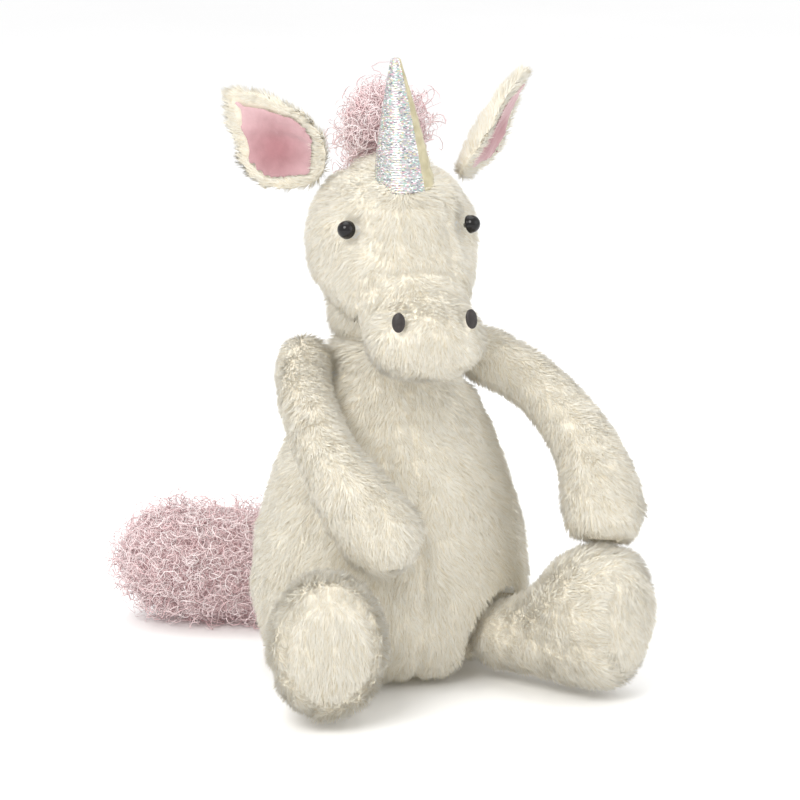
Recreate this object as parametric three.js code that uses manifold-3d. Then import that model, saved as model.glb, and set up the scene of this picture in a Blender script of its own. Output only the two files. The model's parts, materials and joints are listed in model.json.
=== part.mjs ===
// A seated plush unicorn, about 240 mm tall to the tip of its horn.
// Millimetres, +Z up. The toy faces -Y and its own left side is +X.
// The origin is the middle of the flat underside it sits on.

import * as THREE from 'three';
import { mergeVertices } from 'three/addons/utils/BufferGeometryUtils.js';
import Module from 'manifold-3d';

const wasm = await Module();
wasm.setup();

// ---- Driving dimensions ---------------------------------------------------------------

const PILE = 5;                     // plush cloth with its pile
const GAP = 0.3;                    // air between pieces that touch
const JOINT_ROOM = 1.3;             // air around the root of a limb that turns
const FACET = 0.06;                 // how far the facets may stray from the true shape
const BLOCK = 1200;                 // side of a cutting block, well over the toy's size
const HIDDEN_FACETS = 0.75;         // share of the facets that a hidden, inset face gets

const TORSO_HEIGHT = 136;           // seat to the neck seam
const TORSO_HALF_WIDTH = 57;        // at the hips
const TORSO_DEPTH_RATIO = 0.88;     // front to back, against side to side
const TORSO_RADII = [               // height and radius, as shares of the two sizes above
  [0, 0.72], [0.022, 0.83], [0.075, 0.92], [0.16, 0.98], [0.26, 1], [0.37, 0.975], [0.49, 0.91],
  [0.6, 0.83], [0.7, 0.74], [0.79, 0.64], [0.87, 0.54], [0.94, 0.43], [0.98, 0.345], [1, 0.27],
];
const SEAT_BEANS_TOP = 30;          // height of the bean pouch in the seat

const NECK_RADIUS = 20;             // ball of stuffing the head sits on
const NECK_RISE = 6;                // centre of that ball above the torso
const NECK_THREAD = 1.1;            // radius of the ladder-stitch ring
const NECK_CLEARANCE = 8.5;         // height of the head's rim above the torso, so that it can nod
const THROAT_RADIUS = 31;            // room under the head around the neck
const THROAT_DEPTH = 40;

const SKULL_HALF = [35, 37, 35];    // half width, depth and height
const SKULL_LIFT = 34;              // centre of the skull above the torso
const SKULL_FORWARD = 2;
const MUZZLE_HALF = [26, 20.5, 18];
const MUZZLE_FORWARD = 45;          // from the middle of the skull to the middle of the muzzle
const MUZZLE_DROP = 31;
const MUZZLE_SEAM_BACK = 13;        // seam plane behind the middle of the muzzle
const GUSSET_HALF_WIDTH = 14;
const EYE_AT = [24, -23, 8];        // from the middle of the skull
const EYE_RADIUS = 3.6;
const EYE_SHANK_RADIUS = 1.3;
const WASHER_RADIUS = 5;
const WASHER_THICKNESS = 1.2;
const NOSTRIL_AT = [14, 9.5];        // across and up from the middle of the muzzle
const NOSTRIL_HALF = [2.3, 3.4];
const NOSTRIL_THICKNESS = 0.8;

const HORN_BASE_RADIUS = 10.6;
const HORN_TIP_RADIUS = 1.8;
const HORN_HEIGHT = 41;
const HORN_CLOTH = 1.2;
const HORN_FORWARD = 15;            // in front of the middle of the skull
const HORN_LEAN = [4, 5];           // degrees, forwards and to the toy's right

const FORELOCK_HALF = [18, 11, 19];
const MANE_HALF_WIDTH = 9;
const MANE_THICKNESS = 9;

const EAR_LENGTH = 50;
const EAR_HALF_WIDTH = 19;
const EAR_THICKNESS = 4.4;
const EAR_LINING_THICKNESS = 1.4;
const EAR_RIM = 4.5;                // cream rim left around the lining
const EAR_CUP = 0.021;              // how strongly the leaf curls across, 1/mm
const EAR_ARCH = 0.004;             // and along
const EAR_LEAST_WIDTH = 1.2;
const EAR_OUTLINE = [               // share of the length, and of the half width
  [0, 0.3], [0.12, 0.62], [0.3, 1], [0.5, 0.95], [0.75, 0.62], [0.92, 0.3], [1, 0.12],
];
const EAR_FROM = [26, 5, 23];       // root, as a direction from the middle of the skull

const ARM_ROOT_RADIUS = 13;
const ARM_RADIUS = 13.4;
const HAND_RADIUS = 18;
const HAND_BEANS = 30;              // length of the bean pouch in the hand
const SHOULDER_DROP = 12;           // shoulder centre below the top of the torso
const SHOULDER_OUT = 0.614;          // shoulder centre from the middle plane, share of the torso's width
const ARM_BOW = [                   // share of the arm, and how far it bows outwards, backwards and up
  [0.3, 8, 2, 6], [0.68, 9, -2, 4],
];

const LEG_LENGTH = 66;              // hip centre to the middle of the sole
const LEG_ROOT_RADIUS = 16.5;
const FOOT_HALF_WIDTH = 25;
const FOOT_HALF_HEIGHT = 31;
const FOOT_BEANS = 28;
const SOLE_DEPTH = 9;               // dome of the foot that the sole panel covers
const HIP_OUT = 0.65;               // hip centre sideways, share of the torso's half width
const HIP_FORWARD = 0.618;          // and forwards, share of its half depth
const HIP_HEIGHT = 18;

const TAIL_ROOT_RADIUS = 9;
const TAIL_RADIUS = 21.5;
const TAIL_COVER = 8;               // curly yarn cloth
const TAIL_LINE = [                 // middle line from the root: across, backwards and up
  [-4, 7, 0], [-30, 18, -3], [-62, 27, 0], [-90, 35, 5],
];
const TAIL_MOUTH_RADIUS = 1.6;      // hole left where the cover is gathered

const LABEL_SIZE = [16, 1, 12];     // sewn into the seam at the rear of the left hip
const LABEL_AT = [24, 30];          // backwards and up
const LABEL_TURN = 0.35;

// The two sides of the toy, as it sits. Its limbs are alike and only lie differently: splay is
// the leg's angle out from straight ahead, and handAt is where the hand lies from the middle of
// the shin: outwards, backwards, and up from the hip.
const SIDES = [
  { name: 'left', sign: 1, splay: 38, handAt: [12, 1, 51], earTurn: 62, earLift: 54 },
  { name: 'right', sign: -1, splay: 11, handAt: [-21, -4, 51.5], earTurn: 28, earLift: 46 },
];

// ---- Materials ------------------------------------------------------------------------

const cloth = (color, roughness = 1, metalness = 0) => ({ color, roughness, metalness });
const CREAM = cloth('#ece6d8');
const CREAM_SHADE = cloth('#e2dac9');
const ROSE = cloth('#d9a9b4');
const YARN = cloth('#eec5cd');
const FILLING = cloth('#f6f6f2');
const BEANS = cloth('#d8cfb8');
const THREAD = cloth('#efe9dc');
const LUREX = cloth('#cfcdd2', 0.35, 0.6);
const EYE_BLACK = cloth('#0c0b0b', 0.08);
const EMBROIDERY = cloth('#2e2523', 0.8);
const WASHER_WHITE = cloth('#e9e9e6', 0.5);
const LABEL_WHITE = cloth('#fafafa', 0.6);

// ---- Shape helpers --------------------------------------------------------------------

const V = (x, y, z) => new THREE.Vector3(x, y, z);
const degrees = THREE.MathUtils.degToRad;

// Turns a closed geometry into a solid, with its faces pointing out.
function solid(geometry) {
  const bare = geometry.clone();
  for (const name of Object.keys(bare.attributes)) {
    if (name !== 'position') bare.deleteAttribute(name);
  }
  const merged = mergeVertices(bare, 1e-4);
  const at = merged.attributes.position;
  const index = merged.index.array;
  const corners = [];
  let volume = 0;
  for (let i = 0; i < index.length; i += 3) {
    const [a, b, c] = [index[i], index[i + 1], index[i + 2]];
    if (a === b || b === c || c === a) continue;
    corners.push([a, b, c]);
    const [p, q, r] = [a, b, c].map((k) => V(at.getX(k), at.getY(k), at.getZ(k)));
    volume += p.dot(q.cross(r));
  }
  if (volume < 0) corners.forEach((corner) => corner.reverse());
  return new wasm.Manifold(new wasm.Mesh({
    numProp: 3,
    vertProperties: new Float32Array(at.array),
    triVerts: new Uint32Array(corners.flat()),
  }));
}

function placed(body, position, rotation = [0, 0, 0]) {
  const matrix = new THREE.Matrix4().compose(
    position,
    new THREE.Quaternion().setFromEuler(new THREE.Euler(...rotation)),
    V(1, 1, 1),
  );
  return body.transform(matrix.elements);
}

// Hidden faces are coarser, and all insets of one shape share their facets.
const facets = (count, inset) => Math.round(inset > 1 ? count * HIDDEN_FACETS : count);

function ellipsoid(centre, half, segments = 18, rings = 11) {
  const ball = new THREE.SphereGeometry(1, segments, rings);
  ball.rotateX(Math.PI / 2);
  ball.scale(...half);
  ball.translate(centre.x, centre.y, centre.z);
  return solid(ball);
}

const sphere = (centre, radius, segments = 14) =>
  ellipsoid(centre, [radius, radius, radius], segments, Math.round(segments * 0.7));

// A round bar from one point to another.
function bar(from, to, radius, segments = 12) {
  const along = to.clone().sub(from);
  const tube = new THREE.CylinderGeometry(radius, radius, along.length(), segments);
  tube.applyQuaternion(new THREE.Quaternion().setFromUnitVectors(V(0, 1, 0), along.clone().normalize()));
  const middle = from.clone().add(to).multiplyScalar(0.5);
  tube.translate(middle.x, middle.y, middle.z);
  return solid(tube);
}

// A block that fills one side of a plane, large enough to cut any piece here.
function halfSpace(point, normal) {
  const size = BLOCK;
  const block = new THREE.BoxGeometry(size, size, size);
  block.translate(0, 0, size / 2);
  block.applyQuaternion(new THREE.Quaternion().setFromUnitVectors(V(0, 0, 1), normal.clone().normalize()));
  block.translate(point.x, point.y, point.z);
  return solid(block);
}

// Splits a body at a plane and leaves the gap between the halves.
function split(body, point, normal) {
  const step = normal.clone().normalize().multiplyScalar(GAP / 2);
  return [
    body.intersect(halfSpace(point.clone().add(step), normal)),
    body.intersect(halfSpace(point.clone().sub(step), normal.clone().negate())),
  ];
}

// A closed sock: oval sections strung on a smooth line, domed at both ends. It is made
// from a sphere, whose rings become the sections. Each station holds a share of the
// length, a half width across and a half height. Inset shrinks it evenly.
function sock({ line, stations, startDome, endDome, inset = 0, segments = 14, rings = 12, up = V(0, 0, 1) }) {
  const curve = new THREE.CatmullRomCurve3(line);
  const length = curve.getLength();
  const sizeAt = (share, slot) => {
    const last = stations.findIndex((s) => s[0] >= share);
    const b = stations[Math.max(last, 1)];
    const a = stations[Math.max(last, 1) - 1];
    const t = THREE.MathUtils.clamp((share - a[0]) / (b[0] - a[0]), 0, 1);
    return THREE.MathUtils.lerp(a[slot], b[slot], t * t * (3 - 2 * t)) - inset;
  };
  const ball = new THREE.SphereGeometry(1, facets(segments, inset), facets(rings, inset));
  const at = ball.attributes.position;
  const domes = [startDome - inset, endDome - inset];
  for (let i = 0; i < at.count; i += 1) {
    const p = V(at.getX(i), at.getY(i), at.getZ(i));
    const polar = Math.acos(THREE.MathUtils.clamp(p.y, -1, 1)) / Math.PI;
    const round = Math.hypot(p.x, p.z) < 1e-6 ? 0 : Math.atan2(p.z, p.x);
    // The first and last fifth of the rings make the domes, the rest make the wall.
    const cap = 0.22;
    let travel;
    let dome = 1;
    if (polar < cap) {
      const turn = (polar / cap) * (Math.PI / 2);
      travel = inset + domes[0] * (1 - Math.cos(turn));
      dome = Math.sin(turn);
    } else if (polar > 1 - cap) {
      const turn = ((1 - polar) / cap) * (Math.PI / 2);
      travel = length - inset - domes[1] * (1 - Math.cos(turn));
      dome = Math.sin(turn);
    } else {
      const t = (polar - cap) / (1 - 2 * cap);
      travel = THREE.MathUtils.lerp(inset + domes[0], length - inset - domes[1], t);
    }
    const share = THREE.MathUtils.clamp(travel / length, 0, 1);
    const centre = curve.getPointAt(share);
    const forward = curve.getTangentAt(share);
    const side = up.clone().cross(forward).normalize();
    const over = forward.clone().cross(side);
    const q = centre
      .add(side.multiplyScalar(Math.cos(round) * dome * sizeAt(share, 1)))
      .add(over.multiplyScalar(Math.sin(round) * dome * sizeAt(share, 2)));
    at.setXYZ(i, q.x, q.y, q.z);
  }
  return solid(ball);
}

const group = new THREE.Group();

function add(name, body, material) {
  const raw = body.simplify(FACET).getMesh();
  const geometry = new THREE.BufferGeometry();
  geometry.setAttribute('position', new THREE.BufferAttribute(raw.vertProperties, 3));
  geometry.setIndex(new THREE.BufferAttribute(raw.triVerts, 1));
  geometry.computeVertexNormals();
  const mesh = new THREE.Mesh(geometry, new THREE.MeshStandardMaterial(material));
  mesh.name = name;
  group.add(mesh);
}

// The largest of the separate bodies that a cut leaves, so that a node is one body.
const largest = (body) => body.decompose().sort((a, b) => b.volume() - a.volume())[0];

// ---- Torso ----------------------------------------------------------------------------

// The pear, grown or shrunk by an inset. Its underside is flat.
function torso(inset) {
  const profile = [new THREE.Vector2(0, inset)];
  for (const [rise, reach] of TORSO_RADII) {
    const height = inset + rise * (TORSO_HEIGHT - 2 * inset);
    profile.push(new THREE.Vector2(reach * TORSO_HALF_WIDTH - inset, height));
  }
  profile.push(new THREE.Vector2(0, TORSO_HEIGHT - inset));
  const pear = new THREE.LatheGeometry(profile, facets(24, inset));
  pear.rotateX(Math.PI / 2);
  const deep = (TORSO_DEPTH_RATIO * TORSO_HALF_WIDTH - inset) / (TORSO_HALF_WIDTH - inset);
  pear.scale(1, deep, 1);
  return solid(pear);
}

const neck = V(0, 2, TORSO_HEIGHT + NECK_RISE);

// ---- Limb centre lines ----------------------------------------------------------------

const torsoDepth = TORSO_DEPTH_RATIO * TORSO_HALF_WIDTH;
const hip = (side) => V(side.sign * HIP_OUT * TORSO_HALF_WIDTH, -HIP_FORWARD * torsoDepth, HIP_HEIGHT);
const legWay = (side) => V(side.sign * Math.sin(degrees(side.splay)), -Math.cos(degrees(side.splay)), 0);

function leg(side, inset) {
  const at = (reach, height) => hip(side).addScaledVector(legWay(side), reach).setZ(height);
  const swollen = FOOT_HALF_HEIGHT + 0.5;
  const limb = sock({
    line: [
      at(-LEG_ROOT_RADIUS, HIP_HEIGHT), at(LEG_LENGTH * 0.1, HIP_HEIGHT),
      at(LEG_LENGTH * 0.4, HIP_HEIGHT * 1.3), at(LEG_LENGTH * 0.7, swollen), at(LEG_LENGTH, swollen),
    ],
    stations: [
      [0, LEG_ROOT_RADIUS, LEG_ROOT_RADIUS],
      [0.25, LEG_ROOT_RADIUS, LEG_ROOT_RADIUS],
      [0.78, FOOT_HALF_WIDTH, FOOT_HALF_HEIGHT],
      [1, FOOT_HALF_WIDTH, FOOT_HALF_HEIGHT],
    ],
    startDome: LEG_ROOT_RADIUS,
    endDome: SOLE_DEPTH * 1.9,
    inset,
  });
  return limb.intersect(halfSpace(V(0, 0, Math.max(inset, 0)), V(0, 0, 1)));
}

const shoulder = (side) => V(side.sign * SHOULDER_OUT * TORSO_HALF_WIDTH, 0, TORSO_HEIGHT - SHOULDER_DROP);

// The hand lies on the shin, where the leg is narrower than its foot.
function hand(side) {
  const shin = hip(side).addScaledVector(legWay(side), LEG_LENGTH * 0.5);
  const [out, back, up] = side.handAt;
  return shin.add(V(side.sign * out, back, up));
}

function arm(side, inset) {
  const from = shoulder(side);
  const to = hand(side);
  const way = to.clone().sub(from);
  const [upper, lower] = ARM_BOW.map(([share, out, back, up]) =>
    from.clone().addScaledVector(way, share).add(V(side.sign * out, back, up)));
  const first = upper.clone().sub(from).normalize();
  const last = to.clone().sub(lower).normalize();
  return sock({
    line: [
      from.clone().addScaledVector(first, -ARM_ROOT_RADIUS), from, upper, lower, to,
      to.clone().addScaledVector(last, HAND_RADIUS),
    ],
    stations: [
      [0, ARM_ROOT_RADIUS, ARM_ROOT_RADIUS],
      [0.45, ARM_RADIUS, ARM_RADIUS],
      [0.85, HAND_RADIUS, HAND_RADIUS],
      [1, HAND_RADIUS, HAND_RADIUS],
    ],
    startDome: ARM_ROOT_RADIUS,
    endDome: HAND_RADIUS,
    inset,
    rings: 15,
    up: V(1, 0, 0),
  });
}

// ---- Tail -----------------------------------------------------------------------------

const tailRoot = V(0, torsoDepth + TAIL_ROOT_RADIUS * 0.7, TAIL_RADIUS + 3);

function tail(inset) {
  const start = tailRoot.clone().add(V(0, -TAIL_ROOT_RADIUS, 0));
  return sock({
    line: [start, ...TAIL_LINE.map((step) => tailRoot.clone().add(V(...step)))],
    stations: [
      [0, TAIL_ROOT_RADIUS, TAIL_ROOT_RADIUS],
      [0.12, TAIL_ROOT_RADIUS, TAIL_ROOT_RADIUS],
      [0.42, TAIL_RADIUS, TAIL_RADIUS],
      [1, TAIL_RADIUS, TAIL_RADIUS],
    ],
    startDome: TAIL_ROOT_RADIUS,
    endDome: TAIL_RADIUS,
    inset,
  });
}

// ---- Head -----------------------------------------------------------------------------

const skull = V(0, -SKULL_FORWARD, TORSO_HEIGHT + SKULL_LIFT);
const muzzle = skull.clone().add(V(0, -MUZZLE_FORWARD, -MUZZLE_DROP));

// Skull, cheeks and muzzle in one: the two round shapes and the face that joins them.
function head(inset) {
  const face = sock({
    line: [skull.clone().add(V(0, 24, 10)), skull.clone().add(V(0, -14, -11)), muzzle],
    stations: [
      [0, SKULL_HALF[0] * 0.8, SKULL_HALF[2] * 0.8],
      [0.45, SKULL_HALF[0] * 0.93, SKULL_HALF[2] * 0.84],
      [1, MUZZLE_HALF[0] * 0.82, MUZZLE_HALF[2] * 0.84],
    ],
    startDome: 20,
    endDome: 14,
    inset,
    up: V(0, 0, 1),
  });
  return ellipsoid(skull, SKULL_HALF.map((half) => half - inset), facets(22, inset), facets(14, inset))
    .add(ellipsoid(muzzle, MUZZLE_HALF.map((half) => half - inset), facets(18, inset), facets(12, inset)))
    .add(face);
}

// Where a sight line from inside the head meets its surface, and which way that faces.
function onSurface(centre, half, away) {
  const reach = 1 / Math.hypot(away.x / half[0], away.y / half[1], away.z / half[2]);
  const point = away.clone().multiplyScalar(reach);
  const normal = V(point.x / half[0] ** 2, point.y / half[1] ** 2, point.z / half[2] ** 2).normalize();
  return { point: point.add(centre), normal };
}

// ---- Build ----------------------------------------------------------------------------

const neckBall = sphere(neck, NECK_RADIUS, 18);
const throatTop = V(0, neck.y, TORSO_HEIGHT + NECK_CLEARANCE);
const throat = bar(throatTop.clone().setZ(TORSO_HEIGHT - THROAT_DEPTH), throatTop, THROAT_RADIUS, 20);
const neckSocket = sphere(neck, NECK_RADIUS + 2 * GAP, 18).add(throat);

// Torso: two belly panels, one back panel that wraps under the seat, filling and beans.
const dimples = SIDES.map((side) => sphere(shoulder(side), ARM_ROOT_RADIUS + JOINT_ROOM))
  .concat(SIDES.map((side) => leg(side, -GAP)), sphere(tailRoot, TAIL_ROOT_RADIUS + JOINT_ROOM))
  .reduce((a, b) => a.add(b));
const notches = SIDES.map((side) => {
  const down = hip(side).add(V(0, 0, -LEG_ROOT_RADIUS * 2));
  return bar(hip(side), down, LEG_ROOT_RADIUS + 2 * JOINT_ROOM, 14)
    .add(sphere(hip(side), LEG_ROOT_RADIUS + JOINT_ROOM));
}).reduce((a, b) => a.add(b));
const torsoSkin = torso(0).subtract(torso(PILE)).subtract(dimples).subtract(notches);
const torsoCore = torso(PILE + GAP).subtract(dimples).subtract(notches);

const [bellySkin, backSkin] = split(torsoSkin, V(0, -6, 0), V(0, -1, 0.18));
const [bellyLeft, bellyRight] = split(bellySkin, V(0, 0, 0), V(1, 0, 0));
add('belly_panel_left', largest(bellyLeft), CREAM);
add('belly_panel_right', largest(bellyRight), CREAM);
add('back_panel', largest(backSkin), CREAM);

const [coreTop, coreSeat] = split(torsoCore, V(0, 0, SEAT_BEANS_TOP), V(0, 0, 1));
add('body_stuffing', largest(coreTop), FILLING);
add('seat_bean_pouch', largest(coreSeat), BEANS);

const label = new THREE.BoxGeometry(...LABEL_SIZE);
label.rotateZ(LABEL_TURN);
label.translate(TORSO_HALF_WIDTH - 1, ...LABEL_AT);
add('care_label', largest(solid(label).subtract(torso(-GAP))), LABEL_WHITE);

// Neck: the ball of stuffing and the ladder stitch around its foot.
const neckFoot = TORSO_HEIGHT + GAP;
const neckWad = neckBall.intersect(halfSpace(V(0, 0, neckFoot), V(0, 0, 1)));
add('neck_stuffing', neckWad, FILLING);
const ringHeight = neckFoot + NECK_THREAD + 0.1;
const ringReach = Math.sqrt(NECK_RADIUS ** 2 - (neck.z - ringHeight) ** 2) + NECK_THREAD + GAP;
const thread = new THREE.TorusGeometry(ringReach, NECK_THREAD, 6, 22);
thread.translate(neck.x, neck.y, ringHeight);
add('neck_stitching', solid(thread), THREAD);

// Head shell and what goes through it.
const headSkin = head(0).subtract(head(PILE)).subtract(neckSocket);
const headCore = head(PILE + GAP).subtract(neckSocket);
const hollows = [];
const eyes = SIDES.map((side) => {
  const away = V(side.sign * EYE_AT[0], EYE_AT[1], EYE_AT[2]);
  const { point, normal } = onSurface(skull, SKULL_HALF, away);
  const into = (depth) => point.clone().addScaledVector(normal, -depth);
  const seat = into(1.2 - EYE_RADIUS);
  const washerTop = PILE + 1.2;
  const ball = sphere(into(0.4), EYE_RADIUS).intersect(halfSpace(into(0.4), normal));
  const shank = bar(into(0.3), into(washerTop + WASHER_THICKNESS + 1.5), EYE_SHANK_RADIUS, 8);
  const washer = bar(into(washerTop), into(washerTop + WASHER_THICKNESS), WASHER_RADIUS, 14)
    .subtract(bar(seat, into(washerTop + 6), EYE_SHANK_RADIUS + GAP, 8));
  hollows.push(bar(seat, into(washerTop + WASHER_THICKNESS + 2), EYE_SHANK_RADIUS + GAP, 8));
  hollows.push(sphere(into(0.4), EYE_RADIUS + GAP));
  hollows.push(bar(into(PILE - 0.2), into(washerTop + WASHER_THICKNESS + GAP), WASHER_RADIUS + GAP, 14));
  return { side, ball: ball.add(shank), washer };
});
const hollow = hollows.reduce((a, b) => a.add(b));

const seamPoint = muzzle.clone().add(V(0, MUZZLE_SEAM_BACK, MUZZLE_HALF[2] * 0.9));
const [muzzleSkin, skullSkin] = split(headSkin.subtract(hollow), seamPoint, V(0, -0.8, -0.6));
add('muzzle_panel', largest(muzzleSkin), CREAM);

const strip = new THREE.BoxGeometry(2 * GUSSET_HALF_WIDTH, BLOCK, BLOCK);
strip.translate(0, 0, skull.z);
const gusset = skullSkin.intersect(solid(strip));
const cheeks = skullSkin.subtract(solid(strip.clone().scale(1 + GAP / GUSSET_HALF_WIDTH, 1, 1)));
add('head_side_left', largest(cheeks.intersect(halfSpace(V(0, 0, 0), V(1, 0, 0)))), CREAM);
add('head_side_right', largest(cheeks.intersect(halfSpace(V(0, 0, 0), V(-1, 0, 0)))), CREAM);
add('forehead_gusset', largest(gusset), CREAM);
add('head_stuffing', largest(headCore.subtract(hollow)), FILLING);
for (const { side, ball, washer } of eyes) {
  add(`eye_${side.name}`, largest(ball), EYE_BLACK);
  add(`eye_washer_${side.name}`, largest(washer), WASHER_WHITE);
}

// Nostrils: satin-stitched ovals that lie on the muzzle.
for (const side of SIDES) {
  const forward = V(side.sign * NOSTRIL_AT[0], 0, NOSTRIL_AT[1]);
  const [w, d, h] = MUZZLE_HALF;
  forward.y = -d * Math.sqrt(1 - (forward.x / w) ** 2 - (forward.z / h) ** 2);
  const { point, normal } = onSurface(muzzle, MUZZLE_HALF, forward);
  const plug = new THREE.CylinderGeometry(1, 1, 12, 14);
  plug.scale(NOSTRIL_HALF[0], 1, NOSTRIL_HALF[1]);
  plug.applyQuaternion(new THREE.Quaternion().setFromUnitVectors(V(0, 1, 0), normal));
  plug.translate(point.x, point.y, point.z);
  const stitches = ellipsoid(muzzle, MUZZLE_HALF.map((half) => half + NOSTRIL_THICKNESS), 24, 16)
    .subtract(head(-GAP));
  add(`nostril_${side.name}`, largest(stitches.intersect(solid(plug))), EMBROIDERY);
}

// Horn: a cloth cone with filling, standing on the gusset.
const hornAway = V(0, -HORN_FORWARD, 0);
hornAway.z = SKULL_HALF[2] * Math.sqrt(1 - (HORN_FORWARD / SKULL_HALF[1]) ** 2);
const hornBase = onSurface(skull, SKULL_HALF, hornAway).point.add(V(0, 0, -1.5));
const hornTurn = [degrees(HORN_LEAN[0]), degrees(-HORN_LEAN[1]), 0];
function cone(inset, foot = -6) {
  const slope = (HORN_BASE_RADIUS - HORN_TIP_RADIUS) / HORN_HEIGHT;
  const profile = [
    new THREE.Vector2(0, foot),
    new THREE.Vector2(HORN_BASE_RADIUS - inset - slope * foot, foot),
    new THREE.Vector2(HORN_TIP_RADIUS * 1.3 - inset * 0.5, HORN_HEIGHT - 2 - inset),
    new THREE.Vector2(HORN_TIP_RADIUS * 0.8 - inset * 0.4, HORN_HEIGHT - inset),
    new THREE.Vector2(0, HORN_HEIGHT - inset + 0.2),
  ];
  const spike = new THREE.LatheGeometry(profile, 16);
  spike.rotateX(Math.PI / 2);
  return placed(solid(spike), hornBase, hornTurn);
}
const scalp = head(-GAP);
add('horn_cover', largest(cone(0).subtract(cone(HORN_CLOTH, -9)).subtract(scalp)), LUREX);
add('horn_stuffing', largest(cone(HORN_CLOTH + GAP, -6).subtract(scalp)), FILLING);

// Forelock on the crown, behind the horn, and the mane from there down the nape.
const crown = V(0, skull.y + 9, skull.z + SKULL_HALF[2] + FORELOCK_HALF[2] * 0.35);
const aroundHorn = cone(-1.2);
const tuft = ellipsoid(crown, FORELOCK_HALF, 16, 9).subtract(scalp).subtract(aroundHorn);
const maneHalf = SKULL_HALF.map((half) => half + MANE_THICKNESS);
const maneBand = ellipsoid(skull, maneHalf, 22, 14)
  .subtract(scalp)
  .intersect(halfSpace(V(MANE_HALF_WIDTH, 0, 0), V(-1, 0, 0)))
  .intersect(halfSpace(V(-MANE_HALF_WIDTH, 0, 0), V(1, 0, 0)))
  .intersect(halfSpace(V(0, crown.y + FORELOCK_HALF[1] + GAP, 0), V(0, 1, 0)))
  .intersect(halfSpace(V(0, 0, neck.z + 6), V(0, 0, 1)));
add('forelock', largest(tuft), YARN);
add('mane', largest(maneBand), YARN);

// Ears: a cupped leaf of cream plush with a thinner rose leaf lying in it. In its own
// frame the leaf runs along +X, its width is Y and it opens towards +Z.
function leaf(thickness, lift, inset) {
  const line = [V(inset, 0, 0), V(EAR_LENGTH / 2, 0, 0), V(EAR_LENGTH - inset, 0, 0)];
  const stations = EAR_OUTLINE.map(([share, reach]) =>
    [share, Math.max(reach * EAR_HALF_WIDTH - inset, EAR_LEAST_WIDTH), thickness / 2]);
  const flat = sock({ line, stations, startDome: 3, endDome: 2, segments: 12, rings: 12 });
  return flat.warp((p) => {
    p[2] += lift + EAR_CUP * p[1] * p[1] + EAR_ARCH * (p[0] - EAR_LENGTH / 2) ** 2;
  });
}
for (const side of SIDES) {
  const away = V(side.sign * EAR_FROM[0], EAR_FROM[1], EAR_FROM[2]);
  const root = onSurface(skull, SKULL_HALF, away);
  const base = root.point.clone().addScaledVector(root.normal, 1);
  const lift = degrees(side.earLift);
  const along = V(side.sign * Math.cos(lift), 0.12, Math.sin(lift)).normalize();
  const turn = degrees(side.earTurn);
  const opens = V(side.sign * Math.sin(turn), -Math.cos(turn), -0.25);
  const across = opens.clone().cross(along).normalize();
  const face = along.clone().cross(across).normalize();
  const matrix = new THREE.Matrix4().makeBasis(along, across, face).setPosition(base);
  const back = leaf(EAR_THICKNESS, 0, 0).transform(matrix.elements).subtract(scalp);
  const shift = (EAR_THICKNESS + EAR_LINING_THICKNESS) / 2 + GAP;
  const lining = leaf(EAR_LINING_THICKNESS, shift, EAR_RIM).transform(matrix.elements).subtract(scalp);
  add(`ear_back_${side.name}`, largest(back), CREAM);
  add(`ear_lining_${side.name}`, largest(lining), ROSE);
}

// Limbs: each is two panels sewn edge to edge around filling, with beans at its end.
const torsoGrown = torso(-GAP);
for (const side of SIDES) {
  const at = shoulder(side);
  const clear = torsoGrown.subtract(sphere(at, ARM_ROOT_RADIUS + GAP)).add(leg(side, -GAP));
  const sleeve = arm(side, 0).subtract(clear);
  const filling = arm(side, PILE + GAP).subtract(clear);
  const skin = sleeve.subtract(arm(side, PILE));
  const palm = hand(side);
  const way = palm.clone().sub(at).normalize();
  const seamWay = V(side.sign, 0, 0).cross(way).normalize();
  const [front, back] = split(skin, at.clone().add(palm).multiplyScalar(0.5), seamWay);
  add(`arm_upper_panel_${side.name}`, largest(front), CREAM);
  add(`arm_under_panel_${side.name}`, largest(back), CREAM_SHADE);
  const wrist = palm.clone().addScaledVector(way, HAND_RADIUS - HAND_BEANS);
  const [beans, wadding] = split(filling, wrist, way);
  add(`arm_stuffing_${side.name}`, largest(wadding), FILLING);
  add(`paw_beans_${side.name}`, largest(beans), BEANS);
}

for (const side of SIDES) {
  const whole = leg(side, 0);
  const skin = whole.subtract(leg(side, PILE));
  const way = legWay(side);
  const ankle = hip(side).addScaledVector(way, LEG_LENGTH - SOLE_DEPTH);
  const [sole, tube] = split(skin, ankle, way);
  const [top, under] = split(tube, V(0, 0, HIP_HEIGHT + 4), V(0, 0, 1));
  add(`leg_top_panel_${side.name}`, largest(top), CREAM);
  add(`leg_under_panel_${side.name}`, largest(under), CREAM_SHADE);
  add(`foot_sole_${side.name}`, largest(sole), CREAM);
  const filling = leg(side, PILE + GAP);
  const [beans, wadding] = split(filling, ankle.clone().addScaledVector(way, SOLE_DEPTH - FOOT_BEANS), way);
  add(`leg_stuffing_${side.name}`, largest(wadding), FILLING);
  add(`foot_beans_${side.name}`, largest(beans), BEANS);
}

// The cover is a tube whose mouth is gathered and sewn to the back.
const mouthAt = [V(0, -20, 0), V(-3, 5, 0)].map((step) => step.add(tailRoot));
const tailMouth = bar(...mouthAt, TAIL_MOUTH_RADIUS, 8);
const tailHollow = tail(TAIL_COVER).add(tailMouth);
add('tail_cover', largest(tail(0).subtract(torsoGrown).subtract(tailHollow)), YARN);
add('tail_stuffing', largest(tail(TAIL_COVER + GAP)), FILLING);

export default group;
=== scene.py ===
import json
import math

import bmesh
import bpy
import numpy as np
from mathutils import Matrix, Vector
from mathutils.bvhtree import BVHTree
from mathutils.kdtree import KDTree


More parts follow.
